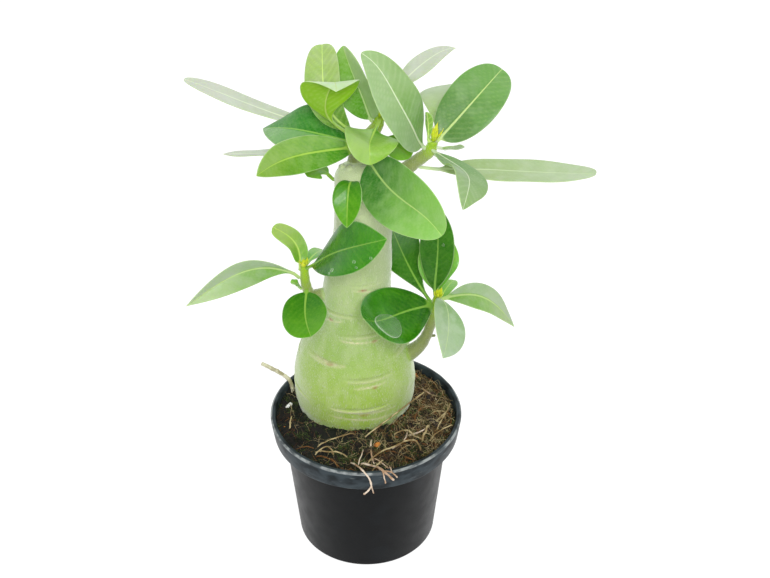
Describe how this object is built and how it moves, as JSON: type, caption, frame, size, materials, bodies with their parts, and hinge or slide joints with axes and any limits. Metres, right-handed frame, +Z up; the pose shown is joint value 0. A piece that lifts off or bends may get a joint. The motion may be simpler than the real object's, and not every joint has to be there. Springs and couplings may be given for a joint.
{
  "type": "potted desert rose",
  "caption": "Young desert rose with a swollen ringed stem and glossy leaves on short shoots, growing in a round tapered nursery pot of potting mix.",
  "frame": {"origin": "centre of the pot's base, on the surface that the pot stands on", "axes": "+Z up along the pot's axis, -Y towards the plant's front, +X to the right seen from the front"},
  "size_m": [0.2088, 0.1125, 0.3012],
  "materials": {
    "pot": "satin",
    "potting_mix": "matte",
    "stem_skin": "satin",
    "crown_leaf": "satin",
    "lower_leaf": "satin",
    "bud": "satin"
  },
  "bodies": {
    "root": {"bud_left_crown": "bud", "bud_left_side": "bud", "bud_right_crown": "bud", "bud_right_side": "bud", "caudex": "stem_skin", "leaf_left_crown_1": "crown_leaf", "leaf_left_crown_10": "crown_leaf", "leaf_left_crown_11": "crown_leaf", "leaf_left_crown_2": "crown_leaf", "leaf_left_crown_3": "crown_leaf", "leaf_left_crown_4": "crown_leaf", "leaf_left_crown_5": "crown_leaf", "leaf_left_crown_6": "crown_leaf", "leaf_left_crown_7": "crown_leaf", "leaf_left_crown_8": "crown_leaf", "leaf_left_crown_9": "crown_leaf", "leaf_left_side_1": "lower_leaf", "leaf_left_side_2": "lower_leaf", "leaf_left_side_3": "lower_leaf", "leaf_left_side_4": "lower_leaf", "leaf_left_side_5": "lower_leaf", "leaf_left_side_6": "lower_leaf", "leaf_right_crown_1": "crown_leaf", "leaf_right_crown_2": "crown_leaf", "leaf_right_crown_3": "crown_leaf", "leaf_right_crown_4": "crown_leaf", "leaf_right_crown_5": "crown_leaf", "leaf_right_crown_6": "crown_leaf", "leaf_right_crown_7": "crown_leaf", "leaf_right_crown_8": "crown_leaf", "leaf_right_side_1": "lower_leaf", "leaf_right_side_2": "lower_leaf", "leaf_right_side_3": "lower_leaf", "leaf_right_side_4": "lower_leaf", "leaf_right_side_5": "lower_leaf", "leaf_right_side_6": "lower_leaf", "leaf_right_side_7": "lower_leaf", "leaf_stem_top_1": "crown_leaf", "leaf_stem_top_2": "crown_leaf", "pot": "pot", "potting_mix": "potting_mix"}
  },
  "joints": []
}
